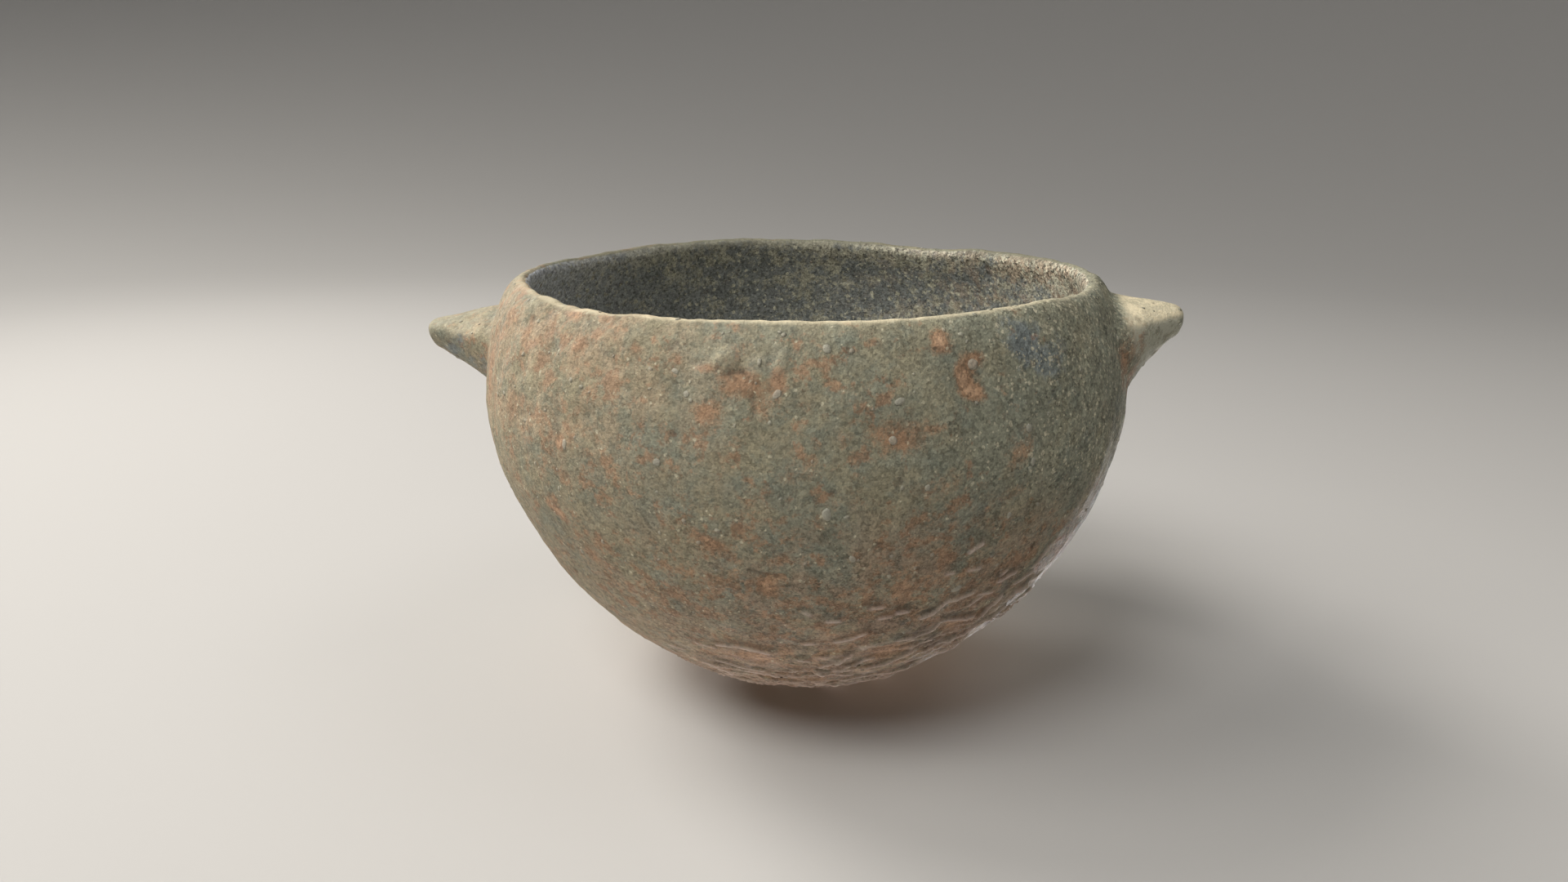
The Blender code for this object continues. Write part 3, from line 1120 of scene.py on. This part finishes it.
def shaderTools(tree):
    # Short ways to add and join shader nodes
    def plug(value, socket):
        if isinstance(value, bpy.types.NodeSocket):
            tree.links.new(value, socket)
        else:
            socket.default_value = value

    def add(kind, inputs, **settings):
        node = tree.nodes.new("ShaderNode" + kind)
        for name, value in settings.items():
            setattr(node, name, value)
        for name, value in inputs.items():
            plug(value, node.inputs[name])
        return node

    def attribute(name):
        return add("Attribute", {}, attribute_name=name).outputs["Fac"]

    def maths(kind, first, second=0.0, third=0.0):
        node = add("Math", {}, operation=kind)
        for socket, value in zip(node.inputs, (first, second, third)):
            plug(value, socket)
        return node.outputs["Value"]

    def times(first, second):
        return maths("MULTIPLY", first, second)

    def plus(first, second, weight=1.0):
        # The second is weighed before it is added
        return maths("MULTIPLY_ADD", second, weight, first)

    def band(value, low, high, toLow=0.0, toHigh=1.0):
        inputs = {"Value": value, "From Min": low, "From Max": high, "To Min": toLow, "To Max": toHigh}
        return add("MapRange", inputs, interpolation_type="SMOOTHSTEP").outputs["Result"]

    def mix(share, first, second):
        node = add("Mix", {}, data_type="RGBA")
        for socket, value in ((node.inputs[0], share), (node.inputs[6], first), (node.inputs[7], second)):
            plug(value, socket)
        return node.outputs[2]

    def lay(name, amount, colour):
        # Lays a colour of the clay over another colour
        return mix(amount, colour, clay[name])

    def shade(colour, amount):
        # Multiplies a colour by a number
        node = add("VectorMath", {}, operation="SCALE")
        plug(colour, node.inputs[0])
        plug(amount, node.inputs["Scale"])
        return node.outputs[0]

    place = add("TexCoord", {}).outputs["Object"]

    def noise(size, detail, rough, seed):
        inputs = {"Vector": place, "W": seed, "Scale": 1.0 / size, "Detail": detail, "Roughness": rough}
        return add("TexNoise", inputs, noise_dimensions="4D").outputs["Fac"]

    def pattern(name):
        return noise(*patterns[name])

    def centred(name):
        return maths("SUBTRACT", pattern(name), 0.5)

    def share(name, value=None):
        # From the pattern of the same name, or from another value
        return band(pattern(name) if value is None else value, *shares[name])

    def specks(spacing, chance):
        # Round to ragged spots, in the given share of the cells
        inputs = {"Vector": place, "Scale": speck["swirl"] / spacing, "Detail": speck["detail"]}
        swirl = add("TexNoise", inputs)
        bent = add("VectorMath", {}, operation="MULTIPLY_ADD")
        plug(swirl.outputs["Color"], bent.inputs[0])
        plug((spacing * speck["bend"],) * 3, bent.inputs[1])
        plug(place, bent.inputs[2])
        spots = add("TexVoronoi", {"Vector": bent.outputs[0], "Scale": 1.0 / spacing}, feature="F1")
        parts = add("SeparateColor", {"Color": spots.outputs["Color"]}).outputs
        reach = plus(speck["radius"], parts["Green"], speck["moreRadius"])
        inside = maths("SUBTRACT", reach, spots.outputs["Distance"])
        chosen = maths("SUBTRACT", chance, parts["Red"])
        inside = band(inside, -speck["edge"], speck["edge"])
        return times(inside, band(chosen, -speck["chanceEdge"], speck["chanceEdge"]))

    def dots(rows, thick):
        layers = []
        for spacing, least, more, strength in rows:
            layers.append(times(specks(spacing, plus(least, thick, more)), strength))
        return maths("MAXIMUM", *layers)

    def cellTones(spacing, seed):
        # A tone of its own for each cell
        shift = tuple(seed * way for way in sand["seedWays"])
        shifted = add("Mapping", {"Vector": place, "Location": shift}).outputs["Vector"]
        cells = add("TexVoronoi", {"Vector": shifted, "Scale": 1.0 / spacing}, feature="F1")
        return add("SeparateColor", {"Color": cells.outputs["Color"]}).outputs["Green"]

    def grain(seed):
        # Lighter and darker than the mean by turns
        coarse, coarseTone = sand["coarse"]
        fine, fineTone = sand["fine"]
        fineGrains = times(cellTones(fine, seed + sand["fineSeedStep"]), fineTone)
        total = plus(fineGrains, cellTones(coarse, seed), coarseTone)
        total = plus(total, noise(*sand["cloud"], seed), sand["cloudTone"])
        return maths("SUBTRACT", total, 0.5)

    return SimpleNamespace(
        plug=plug, add=add, attribute=attribute, maths=maths, times=times, plus=plus, mix=mix, lay=lay,
        shade=shade, pattern=pattern, centred=centred, share=share, dots=dots, grain=grain
    )


def outsideColour(t):
    warm, brown, speckled = t.attribute("warm"), t.attribute("brown"), t.attribute("speckled")
    redStain, darkStain, raised = t.attribute("redStain"), t.attribute("darkStain"), t.attribute("raised")
    green = t.plus(t.pattern("green"), warm, finish["warmOnGreen"])
    colour = t.mix(t.share("green", green), clay["khaki"], clay["greenGrey"])
    colour = t.lay("peach", t.times(warm, t.share("peach")), colour)
    colour = t.lay("brown", t.times(brown, t.share("brown")), colour)
    # Dusk on the right and smoky patches
    colour = t.lay("dusk", t.times(speckled, t.share("dusk")), colour)
    smoky = t.plus(darkStain, t.centred("smoke"), finish["raggedOnSmoke"])
    colour = t.lay("smoke", t.share("smoke", smoky), colour)
    # Painted highlight on high points and painted shade in the hollows
    colour = t.lay("highPoint", t.share("highPoint", raised), colour)
    colour = t.lay("soil", t.share("hollow", raised), colour)
    # Blue-green flecks
    cool = t.times(t.share("verdigris"), t.plus(1.0, warm, finish["warmOnVerdigris"]))
    colour = t.lay("verdigris", cool, colour)
    # Rusty patches with ragged edges, where they are marked and in flecks all over
    ragged = t.centred("ragged")
    marked = t.share("stains", t.plus(redStain, ragged, finish["raggedOnStains"]))
    flecked = t.plus(t.pattern("fineFlecks"), t.centred("broadFlecks"), finish["broadOnFlecks"])
    flecked = t.plus(flecked, speckled, finish["speckledOnFlecks"])
    flecked = t.plus(flecked, warm, finish["warmOnFlecks"])
    flecked = t.plus(flecked, brown, finish["brownOnFlecks"])
    rusty = t.mix(t.share("orange", ragged), clay["deepOrange"], clay["orange"])
    rusty = t.lay("brightOrange", t.share("brightOrange", redStain), rusty)
    rusty = t.lay("salmon", t.times(warm, finish["warmOnSalmon"]), rusty)
    colour = t.mix(t.maths("MAXIMUM", marked, t.share("flecks", flecked)), colour, rusty)
    # Pale specks, thick on the right and on the smoky patches
    thick = t.times(t.share("speckedWall", speckled), t.share("specks"))
    thick = t.plus(thick, t.share("speckedSmoke", darkStain))
    colour = t.lay("sand", t.dots(outsideSpecks, thick), colour)
    # Sandy grain, and patches that are lighter and darker, the most on the right and towards the base
    contrast = t.plus(finish["contrast"], speckled, finish["speckledOnContrast"])
    contrast = t.plus(contrast, brown, finish["brownOnContrast"])
    patchShare = t.plus(finish["patches"], speckled, finish["speckledOnPatches"])
    patchShare = t.plus(patchShare, brown, finish["brownOnPatches"])
    patches = t.plus(1.0, t.centred("patches"), patchShare)
    return t.shade(colour, t.plus(patches, t.grain(sand["outsideSeed"]), contrast))


def insideColour(t):
    right, left, top = t.attribute("innerRight"), t.attribute("innerLeft"), t.attribute("innerTop")
    olive = t.plus(t.pattern("olive"), t.centred("broadOlive"), finish["broadOnOlive"])
    olive = t.plus(olive, right, finish["rightOnOlive"])
    olive = t.plus(olive, top, finish["topOnOlive"])
    colour = t.mix(t.share("olive", olive), clay["slate"], clay["olive"])
    # Painted light, pale bluish, on the shaded inner left wall
    colour = t.lay("bluish", t.times(left, finish["bluish"]), colour)
    warm = t.plus(t.pattern("innerBrown"), top, finish["topOnInnerBrown"])
    colour = t.lay("innerBrown", t.times(right, t.share("innerBrown", warm)), colour)
    thick = t.plus(finish["innerSpecks"], top, finish["topOnInnerSpecks"])
    thick = t.plus(thick, right, finish["rightOnInnerSpecks"])
    colour = t.lay("olivePale", t.dots(insideSpecks, thick), colour)
    contrast = t.plus(finish["innerContrast"], t.times(right, top), finish["rightOnInnerContrast"])
    return t.shade(colour, t.plus(1.0, t.grain(sand["insideSeed"]), contrast))


def clayFinish():
    material = bpy.data.materials.new("firedClay")
    material.use_nodes = True
    tree = material.node_tree
    shader = tree.nodes["Principled BSDF"]
    t = shaderTools(tree)
    inner = t.plus(t.attribute("inner"), t.centred("innerEdge"), finish["innerEdge"])
    colour = t.mix(t.share("innerEdge", inner), outsideColour(t), insideColour(t))
    # Painted light on the front flank of the right lug
    colour = t.lay("flank", t.times(t.attribute("rightLug"), t.share("flank")), colour)
    # Painted highlight, cream, on the crest of the front lip and the tops of the lugs
    colour = t.lay("cream", t.times(t.attribute("worn"), t.share("cream")), colour)
    for field, tint, strength in tints:
        colour = t.lay(tint, t.times(t.attribute(field), strength), colour)
    t.plug(colour, shader.inputs["Base Color"])
    t.plug(t.share("roughness"), shader.inputs["Roughness"])
    t.plug(finish["shine"], shader.inputs["Specular IOR Level"])
    height = t.plus(t.pattern("fineBump"), t.pattern("coarseBump"), finish["coarseBump"])
    inputs = {"Height": height, "Strength": finish["bumpStrength"], "Distance": finish["bumpDepth"]}
    t.plug(t.add("Bump", inputs).outputs["Normal"], shader.inputs["Normal"])
    return material


def makeBowl():
    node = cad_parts["bowl"]
    find = makeFinder(node)
    piece = roundedMesh(node)
    print("rounded mesh", len(piece.data.vertices), "vertices")
    dense, fields = shapeBowl(piece, find)
    lightenMesh(piece)
    carryFields(piece, dense, fields)
    plantGrains(piece, find)
    keepAboveFloor(piece)
    stainFields(piece, find)
    regionFields(piece)
    piece.data.materials.clear()
    piece.data.materials.append(clayFinish())
    piece.data.shade_smooth()
    print("stains and finish laid on")
    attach(piece, "root")
    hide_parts("bowl")
    return piece


placeCamera()
makeStage()
makeLights()
print("camera, stage and lights placed")
makeGlows(makeBowl())
print("bowl made")
